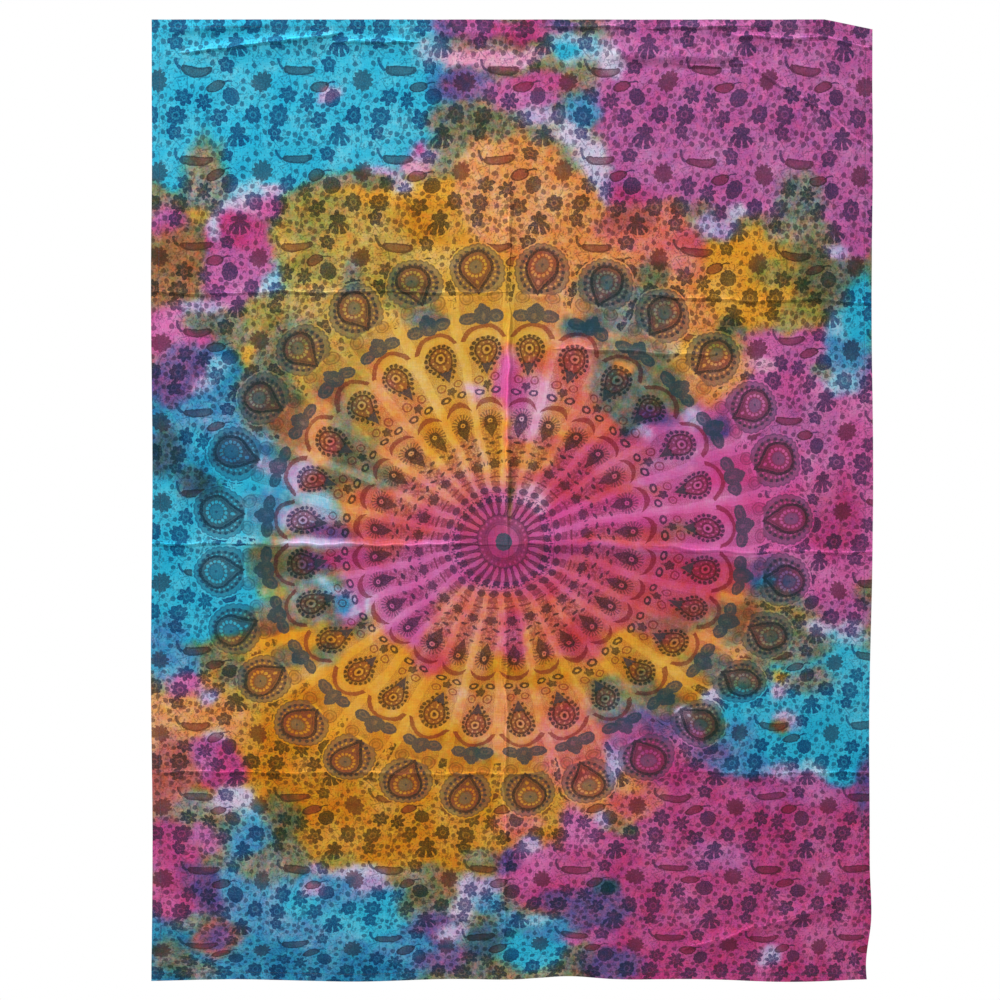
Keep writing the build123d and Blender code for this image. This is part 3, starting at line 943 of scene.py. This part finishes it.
    # great medallions: a pointed drop in a beaded round
    great = bench.teardrop(cell, (0, 303), 18.4, 30.0)
    greatCore = bench.teardrop(cell, (0, 303), 14.2, 23.0)
    heart = bench.oval(cell, (0, 303.4), (1, 1))
    lightDots = bench.either(bench.dotRing(cell, (0, 303.4), 10.4, 15, 1.75), spot(0, 286.5, 1.6, 2.2))
    collarAt = bench.placed(cell, (0, 298.5))
    collarReach = bench.vector("LENGTH", collarAt)
    scallop = bench.sum("ABSOLUTE", bench.sum("SINE", bench.faint(bench.angle(collarAt), 13)))
    collarEdge = bench.sum("MULTIPLY_ADD", scallop, 1.4, 27.4)
    above = bench.over(outward, 274.5)
    inCollar = bench.both(bench.inside(collarReach, collarEdge), above)
    greatFill = bench.inside(great)
    collarTint = bench.without(inCollar, greatFill)
    paleDots = bench.both(bench.dotRing(cell, (0, 299.6), 19.4, 24, 1.2), collarTint)
    darker(bench.band(great, 0.92, 0.085))
    darker(bench.both(bench.band(greatCore, 0.97, 0.045), bench.inside(outward, 300)), 0.7)
    darker(bench.both(bench.sum("COMPARE", collarReach, collarEdge, 0.8), above), 0.75)
    darker(bench.both(bench.band(collarReach, 25.2, 0.5), above), 0.5)
    darker(bench.both(bench.dotRing(cell, (0, 299.6), 22.6, 22, 1.9), collarTint))
    darker(collarTint, 0.46)
    greyer(collarTint, 0.6)
    redder(bench.both(collarTint, bench.inside(collarReach, 23.5)), 0.6)
    darker(bench.inside(heart, 6.6), 0.6)
    greyer(bench.inside(heart, 6.6), 0.8)
    greyer(greatFill, 0.25)
    darker(bench.band(heart, 7.0, 0.5), 0.8)
    darker(bench.inside(heart, 1.4))
    darker(greatFill, 0.42)
    redder(bench.without(greatFill, bench.inside(heart, 7.6)), 0.9)

    # light marks left open in the inks
    openings = bench.either(lightDots, paleDots, seeds, eye, beadHeart, dropLight)
    darkInk = bench.without(bench.without(inked["dark"], openings, 0.8), halo, 0.9)
    darkInk = bench.without(darkInk, lightPetal, 0.9)
    redInk = bench.without(inked["red"], bench.either(openings, lightPetal, halo, bodyPips), 0.75)
    ground = bench.either(bench.inside(reach, 262), bench.inside(collarReach, 30.5),
                          bench.both(bench.inside(reach, 290), bench.inside(aside, 26)))
    bench.feed(out["Dark"], darkInk)
    bench.feed(out["Red"], redInk)
    bench.feed(out["Slate"], bench.without(inked["slate"], openings, 0.8))
    bench.feed(out["Ground"], ground)
    return bench.tree


def inkGroup(layout, field, mandala):
    # the three inks over the whole cloth, thin and speckled where the cloth took them badly
    bench, given, out = newGroup(
        "screenInks", [("Plan", "NodeSocketVector"), ("Strength", "NodeSocketFloat")],
        [("Dark", "NodeSocketFloat"), ("Red", "NodeSocketFloat"), ("Slate", "NodeSocketFloat")],
    )
    place = groupNode(bench, layout, Plan=given["Plan"])["Place"]
    flowers = groupNode(bench, field, Place=place)
    disc = groupNode(bench, mandala, Place=place)
    outside = bench.sum("SUBTRACT", 1.0, disc["Ground"])
    wear = bench.ranged(bench.noise(place, 0.03, 3.0, 0.6)[0], 0.35, 0.7, 0.9, 1.0)
    grain = bench.ranged(bench.noise(place, 0.7, 3.0, 0.75)[0], 0.36, 0.54, 0.72, 1.0)
    carry = bench.both(wear, grain, given["Strength"])
    dark = bench.either(bench.both(flowers["Dark"], outside), disc["Dark"])
    red = bench.either(bench.both(flowers["Red"], outside), disc["Red"])
    bench.feed(out["Dark"], bench.both(dark, carry))
    bench.feed(out["Red"], bench.both(red, carry))
    bench.feed(out["Slate"], bench.both(disc["Slate"], carry))
    return bench.tree


dyeTake = {  # as red, green, blue
    "blue": (3.5, 0.42, 0.12),  # what each bath takes out of white cloth
    "pink": (0.15, 1.75, 0.64),
    "yellow": (0.02, 0.5, 3.3),
    "cloth": (0.85, 0.76, 0.83),
    "darkInk": (0.10, 0.075, 0.24),  # what an ink leaves of the dye below, and its own colour
    "darkInkBody": (0.001, 0.018, 0.003),
    "redInk": (0.52, 0.24, 0.22),
    "redInkBody": (0.030, 0.004, 0.018),
    "slateInk": (0.03, 0.085, 0.115),  # covers the dye, at half strength
}


def dyeGroup():
    bench, given, out = newGroup(
        "dyedCotton",
        [("Baths", "NodeSocketVector"), ("Plan", "NodeSocketVector"), ("Dark", "NodeSocketFloat"),
         ("Red", "NodeSocketFloat"), ("Slate", "NodeSocketFloat")],
        [("Color", "NodeSocketColor")],
    )
    plan = bench.vector("MULTIPLY", given["Plan"], (cloth["width"], cloth["height"], 0))
    # half-strength dye breaks up into frayed patches, full or absent dye stays even
    stray = bench.vector("SUBTRACT", bench.noise(plan, 0.10, 5.0, 0.7)[1], (0.5, 0.5, 0.5))
    headroom = bench.vector("SUBTRACT", (1.05, 1.05, 0.95), given["Baths"])
    headroom = bench.vector("MAXIMUM", headroom, (0.0, 0.0, 0.0))
    fray = bench.vector("MULTIPLY", stray, bench.vector("MULTIPLY", given["Baths"], headroom))
    baths = bench.vector("MULTIPLY_ADD", fray, (3.6, 3.6, 3.2), given["Baths"])
    baths = bench.vector("MAXIMUM", baths, (0.0, 0.0, 0.0))
    fibre = bench.ranged(bench.noise(plan, 0.55, 3.0, 0.7)[0], 0.3, 0.7, 0.86, 1.12)
    blue, pink, yellow = bench.split(bench.scaled(baths, fibre))
    taken = bench.scaled(bench.node("ShaderNodeCombineXYZ").outputs[0], 0.0)
    for amount, name in ((blue, "blue"), (pink, "pink"), (yellow, "yellow")):
        taken = bench.vector("ADD", taken, bench.scaled(dyeTake[name], amount))
    left = [bench.sum("EXPONENT", bench.sum("MULTIPLY", part, -1.0)) for part in bench.split(taken)]
    color = bench.vector("MULTIPLY", bench.joined(*left), dyeTake["cloth"])
    reddened = bench.vector("MULTIPLY_ADD", color, dyeTake["redInk"], dyeTake["redInkBody"])
    color = bench.mixed(given["Red"], color, reddened)
    darkened = bench.vector("MULTIPLY_ADD", color, dyeTake["darkInk"], dyeTake["darkInkBody"])
    color = bench.mixed(given["Dark"], color, darkened)
    color = bench.mixed(bench.sum("MULTIPLY", given["Slate"], 0.5), color, dyeTake["slateInk"] + (1,))
    bench.feed(out["Color"], color)
    return bench.tree


def weaveGroup():
    # plain weave with slubs: over and under threads as one height map, in threads per millimetre
    bench, given, out = newGroup(
        "plainWeave", [("Plan", "NodeSocketVector"), ("Threads", "NodeSocketFloat")],
        [("Height", "NodeSocketFloat"), ("Tone", "NodeSocketFloat")],
    )
    plan = bench.vector("MULTIPLY", given["Plan"], (cloth["width"], cloth["height"], 0))
    threads = bench.scaled(plan, bench.sum("MULTIPLY", given["Threads"], math.pi))
    x, y, z = bench.split(threads)
    over = bench.both(bench.sum("SINE", x), bench.sum("SINE", y))
    warp = bench.noise(bench.vector("MULTIPLY", plan, (1.4, 0.07, 0)), 1.0, 2.0)[0]
    weft = bench.noise(bench.vector("MULTIPLY", plan, (0.07, 1.4, 0)), 1.0, 2.0)[0]
    slub = bench.sum("ADD", warp, weft)
    bench.feed(out["Height"], bench.sum("MULTIPLY_ADD", over, 0.25, slub))
    bench.feed(out["Tone"], bench.ranged(bench.sum("MULTIPLY_ADD", over, 0.06, slub), 0.75, 1.25, 0.9, 1.08))
    return bench.tree


stitch = {"pitch": 3.0, "length": 2.7, "thickness": 0.34, "sunk": 0.04, "endInset": 2.0}


def hemGroup():
    # the step where the hem lies behind, and the dimples of its seam, one to a stitch
    bench, given, out = newGroup("hemPucker", [("Plan", "NodeSocketVector")], [("Height", "NodeSocketFloat")])
    plan = bench.vector("MULTIPLY_ADD", given["Plan"], (cloth["width"], cloth["height"], 0),
                        (-halfWidth, -cloth["height"] / 2, 0))
    u, v, w = bench.split(plan)
    inU = bench.sum("SUBTRACT", halfWidth, bench.sum("ABSOLUTE", u))
    inV = bench.sum("SUBTRACT", cloth["height"] / 2, bench.sum("ABSOLUTE", v))
    inset = bench.sum("MINIMUM", inU, inV)
    step = bench.ranged(inset, cloth["hemWidth"] - 0.8, cloth["hemWidth"] + 1.6, 0.5, 0.0)
    fromSeam = bench.sum("ABSOLUTE", bench.sum("SUBTRACT", inset, cloth["seamInset"]))
    groove = bench.ranged(fromSeam, 0.2, 1.8, -0.55, 0.0)
    beat = bench.sum("SINE", bench.faint(bench.sum("ADD", u, v), 2 * math.pi / stitch["pitch"]))
    pucker = bench.sum("MULTIPLY", groove, bench.ranged(beat, -1, 1, 0.5, 1.0))
    bench.feed(out["Height"], bench.sum("ADD", step, pucker))
    return bench.tree


packingCreases = {
    "across": (287.5, 552.5, 793.0),  # how far down the cloth each one lies
    "down": (-3.0, -0.008),  # where the middle crease lies, and how it leans
    "pinches": [
        ((-345, 34), (-192, 16)), ((188, 980), (347, 927)), ((52, 348), (200, 347)), ((234, 17), (378, 21)),
        ((150, 9), (227, 8)), ((170, 47), (240, 47)), ((248, 49), (378, 129)), ((40, 8), (112, 8)),
        ((-180, 24), (-112, 23)),
    ],
    "halfWidth": 4.0,
    "height": 3.8,  # next to the hem's step
    "paintedHighlightGain": 1.55,  # of the painted highlight along the crease tops
}


def creaseGroup():
    # pressed lines where the cloth lay folded: low ridges, with a painted highlight (colour made paler) along
    # the top
    bench, given, out = newGroup(
        "packingCreases", [("Plan", "NodeSocketVector")],
        [("Height", "NodeSocketFloat"), ("PaintedHighlight", "NodeSocketFloat")],
    )
    plan = bench.vector("MULTIPLY_ADD", given["Plan"], (cloth["width"], -cloth["height"], 0),
                        (-halfWidth, cloth["height"], 0))
    stray = bench.noise(plan, 0.024, 2.0)[1]
    plan = bench.vector("MULTIPLY_ADD", bench.vector("SUBTRACT", stray, (0.5, 0.5, 0.5)), (9, 9, 0), plan)
    u, v, w = bench.split(plan)
    middle, lean = packingCreases["down"]
    gap = bench.sum("ABSOLUTE", bench.sum("SUBTRACT", u, bench.sum("MULTIPLY_ADD", v, lean, middle)))
    gap = bench.sum("ADD", gap, bench.ranged(v, 120, 190, 30.0, 0.0))
    for down in packingCreases["across"]:
        gap = bench.sum("MINIMUM", gap, bench.sum("ABSOLUTE", bench.sum("SUBTRACT", v, down)))
    presence = bench.ranged(bench.noise(plan, 0.006, 1.0)[0], 0.36, 0.5, 4.0, 0.0)
    gap = bench.sum("ADD", gap, presence)
    for (u1, v1), (u2, v2) in packingCreases["pinches"]:
        turn = math.degrees(math.atan2(v2 - v1, u2 - u1))
        halfLength = math.hypot(u2 - u1, v2 - v1) / 2
        x, y, z = bench.split(bench.placed(plan, ((u1 + u2) / 2, (v1 + v2) / 2), (1, 1), turn))
        past = bench.sum("MAXIMUM", bench.sum("SUBTRACT", bench.sum("ABSOLUTE", x), halfLength), 0.0)
        gap = bench.sum("MINIMUM", gap, bench.sum("MULTIPLY_ADD", past, 0.3, bench.sum("ABSOLUTE", y)))
    bench.feed(out["Height"], bench.ranged(gap, 0.0, packingCreases["halfWidth"], 1.0, 0.0))
    # painted highlight: a narrow line along each crease top, where the colour is made paler
    bench.feed(out["PaintedHighlight"], bench.ranged(gap, 0.0, packingCreases["halfWidth"] * 0.4, 1.0, 0.0))
    return bench.tree


layout, field, mandala = layoutGroup(), fieldGroup(), roundGroup()
inks = inkGroup(layout, field, mandala)
dyedCotton, plainWeave, hemPucker, creases = dyeGroup(), weaveGroup(), hemGroup(), creaseGroup()
print("patterns built:", len(field.nodes), "flower nodes,", len(mandala.nodes), "round nodes")


def clothMaterial(name, inkStrength, threads, bump):
    material = bpy.data.materials.new(name)
    material.use_nodes = True
    bench = PatternBench(material.node_tree)
    shader = material.node_tree.nodes["Principled BSDF"]
    plan = bench.node("ShaderNodeUVMap", uv_map="clothPlan").outputs[0]
    baths = bench.node("ShaderNodeAttribute", attribute_name="dyeBaths").outputs["Vector"]
    ink = groupNode(bench, inks, Plan=plan, Strength=inkStrength)
    weave = groupNode(bench, plainWeave, Plan=plan, Threads=threads)
    color = groupNode(bench, dyedCotton, Baths=baths, Plan=plan, Dark=ink["Dark"], Red=ink["Red"],
                      Slate=ink["Slate"])["Color"]
    crease = groupNode(bench, creases, Plan=plan)
    color = bench.scaled(color, weave["Tone"])
    # painted highlight: the colour is made paler along the crease tops
    color = bench.scaled(color, bench.ranged(crease["PaintedHighlight"], 0, 1, 1.0, packingCreases["paintedHighlightGain"]))
    bench.feed(shader.inputs["Base Color"], color)
    pucker = groupNode(bench, hemPucker, Plan=plan)["Height"]
    fine = bench.node("ShaderNodeBump")
    fine.inputs["Strength"].default_value = bump
    fine.inputs["Distance"].default_value = 0.12 * mm
    bench.feed(fine.inputs["Height"], weave["Height"])
    broad = bench.node("ShaderNodeBump")
    broad.inputs["Strength"].default_value = 1.0
    broad.inputs["Distance"].default_value = 0.45 * mm
    raised = bench.sum("MULTIPLY_ADD", crease["Height"], packingCreases["height"], pucker)
    bench.feed(broad.inputs["Height"], raised)
    bench.feed(broad.inputs["Normal"], fine.outputs[0])
    bench.feed(shader.inputs["Normal"], broad.outputs[0])
    bench.feed(shader.inputs["Roughness"], bench.ranged(ink["Dark"], 0, 1, 0.9, 0.74))
    shader.inputs["Specular IOR Level"].default_value = 0.07
    shader.inputs["Sheen Weight"].default_value = 0.02
    shader.inputs["Sheen Roughness"].default_value = 0.5
    return material


def threadMaterial():
    material = bpy.data.materials.new("spunThread")
    material.use_nodes = True
    bench = PatternBench(material.node_tree)
    shader = material.node_tree.nodes["Principled BSDF"]
    place = bench.node("ShaderNodeTexCoord").outputs["Object"]
    twist = bench.node("ShaderNodeTexNoise")
    bench.feed(twist.inputs["Vector"], place)
    twist.inputs["Scale"].default_value = 900
    color = bench.mixed(twist.outputs[0], (0.02, 0.03, 0.07, 1), (0.09, 0.12, 0.22, 1))
    bench.feed(shader.inputs["Base Color"], color)
    ply = bench.node("ShaderNodeBump")
    ply.inputs["Strength"].default_value = 0.5
    ply.inputs["Distance"].default_value = 0.1 * mm
    bench.feed(ply.inputs["Height"], twist.outputs[0])
    bench.feed(shader.inputs["Normal"], ply.outputs[0])
    bench.feed(shader.inputs["Roughness"], bench.ranged(twist.outputs[0], 0.3, 0.7, 0.45, 0.7))
    shader.inputs["Sheen Weight"].default_value = 0.3
    return material


frontCloth = clothMaterial("printedCloth", 1.0, 1.9, 0.6)
backCloth = clothMaterial("printedClothBack", 0.5, 1.9, 0.6)
spunThread = threadMaterial()


# the cloth

clothSheet = {
    "columns": 186,
    "rows": 248,
    "denseRows": [(30, 45, 1.5), (288, 8, 0.8), (349, 8, 0.6), (553, 9, 0.9), (794, 8, 0.5)],
}


def packedRows(spots, start, end, denseStretches):
    # even rows drawn closer together round each dense stretch (middle, half width, extra)
    fine = np.linspace(start, end, 4000)
    weight = np.ones_like(fine)
    for middle, half, extra in denseStretches:
        weight += extra * np.exp(-((fine - middle) / half) ** 2)
    total = np.concatenate([[0], np.cumsum((weight[1:] + weight[:-1]) / 2)])
    return np.interp((spots - start) / (end - start), total / total[-1], fine)


def makeCloth():
    sheet = benchGrid("printedCloth", (-halfWidth, halfWidth), (0, cloth["height"]),
                      clothSheet["columns"], clothSheet["rows"])
    mesh = sheet.data
    spots = np.empty(len(mesh.vertices) * 3)
    mesh.vertices.foreach_get("co", spots)
    spots = spots.reshape(-1, 3)
    spots[:, 1] = -packedRows(-spots[:, 1] / mm, 0, cloth["height"], clothSheet["denseRows"]) * mm
    mesh.vertices.foreach_set("co", spots.ravel())
    sheet.data.materials.append(frontCloth)
    sheet.data.materials.append(backCloth)
    applied(sheet, "SOLIDIFY", thickness=cloth["thickness"] * mm, offset=1.0, use_even_offset=False,
            material_offset=1, material_offset_rim=0)
    markPlan(sheet, lambda u, v: (u, v))
    hangUp(sheet)
    smoothed(sheet)
    acrossSwing(sheet)
    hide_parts("cloth_panel")
    return sheet


clothPiece = makeCloth()
print("cloth hung:", len(clothPiece.data.vertices), "points")


# the turned hems: two more layers behind each edge, showing the printed side

hem = {"pitch": 4.0, "foldRadius": 0.3, "clearance": 0.02}
sideTop = (hemHigh.z - sideHigh.z) / mm
sideBottom = (hemHigh.z - sideLow.z) / mm
hemPlans = {  # node: (u range, v range, the edge it is turned over, as mirrored u and v)
    "top_hem": ((-halfWidth, halfWidth), (0, cloth["hemWidth"]), lambda u, v: (u, -v)),
    "bottom_hem": ((-halfWidth, halfWidth), (cloth["height"] - cloth["hemWidth"], cloth["height"]),
                   lambda u, v: (u, 2 * cloth["height"] - v)),
    "left_hem": ((-halfWidth, cloth["hemWidth"] - halfWidth), (sideTop, sideBottom),
                 lambda u, v: (-2 * halfWidth - u, v)),
    "right_hem": ((halfWidth - cloth["hemWidth"], halfWidth), (sideTop, sideBottom),
                  lambda u, v: (2 * halfWidth - u, v)),
}


def makeHem(node, uRange, vRange, turnedOver):
    columns = max(4, int((uRange[1] - uRange[0]) / hem["pitch"]))
    rows = max(4, int((vRange[1] - vRange[0]) / hem["pitch"]))
    strip = benchGrid(node.replace("_hem", "HemTurning"), uRange, vRange, columns, rows)
    strip.data.transform(Matrix.Translation((0, 0, -hem["clearance"] * mm)))
    strip.data.materials.append(frontCloth)
    applied(strip, "SOLIDIFY", thickness=(cloth["hemDepth"] - hem["clearance"]) * mm, offset=-1.0)
    applied(strip, "BEVEL", width=hem["foldRadius"] * mm, segments=2, limit_method="ANGLE",
            angle_limit=math.radians(60))
    markPlan(strip, turnedOver)
    hangUp(strip)
    smoothed(strip)
    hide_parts(node)
    return strip


hems = {node: makeHem(node, *plan) for node, plan in hemPlans.items()}
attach(hems["top_hem"], "held_edge")
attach(hems["bottom_hem"], "hanging_cloth")
acrossSwing(hems["left_hem"])
acrossSwing(hems["right_hem"])
print("hems turned:", len(hems))


# lockstitched seams: one stitch made, then repeated along each edge

def makeSeam(node, start, end, front):
    bpy.ops.object.select_all(action="DESELECT")
    bpy.ops.mesh.primitive_uv_sphere_add(segments=6, ring_count=4, radius=1)
    seam = bpy.context.object
    side, place = node.split("_")[:2]
    seam.name = side + place.title() + "Stitches"
    length = math.hypot(end[0] - start[0], end[1] - start[1])
    alongU, alongV = (end[0] - start[0]) / length, (end[1] - start[1]) / length
    count = int(length / stitch["pitch"])
    half = stitch["thickness"] / 2
    slim = [half if part == 0 else stitch["length"] / 2 for part in (alongU, alongV)]
    first = (length - (count - 1) * stitch["pitch"]) / 2
    seam.scale = (slim[0] * mm, slim[1] * mm, half * mm)
    seam.location = ((start[0] + alongU * first) * mm, -(start[1] + alongV * first) * mm, front * mm)
    bpy.ops.object.transform_apply(location=True, rotation=False, scale=True)
    step = (alongU * stitch["pitch"] * mm, -alongV * stitch["pitch"] * mm, 0)
    applied(seam, "ARRAY", count=count, use_relative_offset=False, use_constant_offset=True,
            constant_offset_displace=step)
    seam.data.materials.append(spunThread)
    hangUp(seam)
    bpy.ops.object.select_all(action="DESELECT")
    seam.select_set(True)
    bpy.ops.object.shade_smooth()
    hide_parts(node)
    return seam


seamU = halfWidth - cloth["seamInset"]
seamV = cloth["height"] - cloth["seamInset"]
seamReach = halfWidth - stitch["endInset"]
seamEnds = {
    "top": ((-seamReach, cloth["seamInset"]), (seamReach, cloth["seamInset"])),
    "bottom": ((-seamReach, seamV), (seamReach, seamV)),
    "left": ((-seamU, sideTop + stitch["endInset"]), (-seamU, sideBottom - stitch["endInset"])),
    "right": ((seamU, sideTop + stitch["endInset"]), (seamU, sideBottom - stitch["endInset"])),
}
seamFaces = {"needle": cloth["thickness"] + stitch["sunk"], "bobbin": -cloth["hemDepth"] - stitch["sunk"]}
for side, (start, end) in seamEnds.items():
    for place, front in seamFaces.items():
        seam = makeSeam(side + "_" + place + "_thread", start, end, front)
        if side in ("left", "right"):
            acrossSwing(seam)
        else:
            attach(seam, "held_edge" if side == "top" else "hanging_cloth")


# camera, light, floor

studio = {
    "cameraDistance": 2.5,
    "cameraAcross": 0.0127,  # the cloth stands a little right of the middle
    "lens": 85.0,
    "floorDrop": 0.2,  # below the cloth
    "floorColor": (0.86, 0.86, 0.85, 1),
    "airLight": 0.34,  # the white air lights the cloth this much, and looks fully white
    "keyLight": ((-1.3, -1.25, 2.2), (0, 0, -0.55), 0.75, 106),  # place, aim, size, power
    "backFill": ((0.6, 1.8, 0.6), (0, 0, -0.5), 1.6, 14),
}


def makeCamera():
    middle = (hemHigh.z + panelLow.z) / 2
    bpy.ops.object.camera_add(location=(-studio["cameraAcross"], -studio["cameraDistance"], middle),
                              rotation=(math.radians(90), 0, 0))
    camera = bpy.context.object
    camera.data.sensor_width = 36
    camera.data.lens = studio["lens"]
    bpy.context.scene.camera = camera


def makeLight(name, place, aim, size, power):
    bpy.ops.object.light_add(type="AREA", location=place)
    lamp = bpy.context.object
    lamp.name = name
    lamp.data.size = size
    lamp.data.energy = power
    lamp.rotation_euler = (Vector(aim) - Vector(place)).to_track_quat("-Z", "Y").to_euler()


def makeStudio():
    bpy.ops.object.select_all(action="DESELECT")
    bpy.ops.mesh.primitive_plane_add(size=1, location=(0, -0.35, panelLow.z - studio["floorDrop"]))
    floor = bpy.context.object
    floor.name = "studioFloor"
    floor.scale = (5, 2.2, 1)
    bpy.ops.object.transform_apply(location=True, rotation=False, scale=True)
    paint = bpy.data.materials.new("paleFloor")
    paint.use_nodes = True
    shader = paint.node_tree.nodes["Principled BSDF"]
    shader.inputs["Base Color"].default_value = studio["floorColor"]
    shader.inputs["Roughness"].default_value = 0.7
    floor.data.materials.append(paint)
    floor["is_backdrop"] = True
    world = bpy.data.worlds.new("studioAir")
    world.use_nodes = True
    bpy.context.scene.world = world
    tree = world.node_tree
    sky = tree.nodes["Background"]
    sky.inputs["Color"].default_value = (1, 1, 1, 1)
    path = tree.nodes.new("ShaderNodeLightPath")
    strength = tree.nodes.new("ShaderNodeMapRange")
    tree.links.new(path.outputs["Is Camera Ray"], strength.inputs["Value"])
    strength.inputs["To Min"].default_value = studio["airLight"]
    strength.inputs["To Max"].default_value = 1.0
    tree.links.new(strength.outputs[0], sky.inputs["Strength"])
    for name in ("keyLight", "backFill"):
        makeLight(name, *studio[name])


makeCamera()
makeStudio()
bpy.context.scene.view_settings.view_transform = "Standard"
print("studio set")

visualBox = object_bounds()
boxes = {"cad": [list(corner) for corner in cadBox], "visual": [list(corner) for corner in visualBox]}
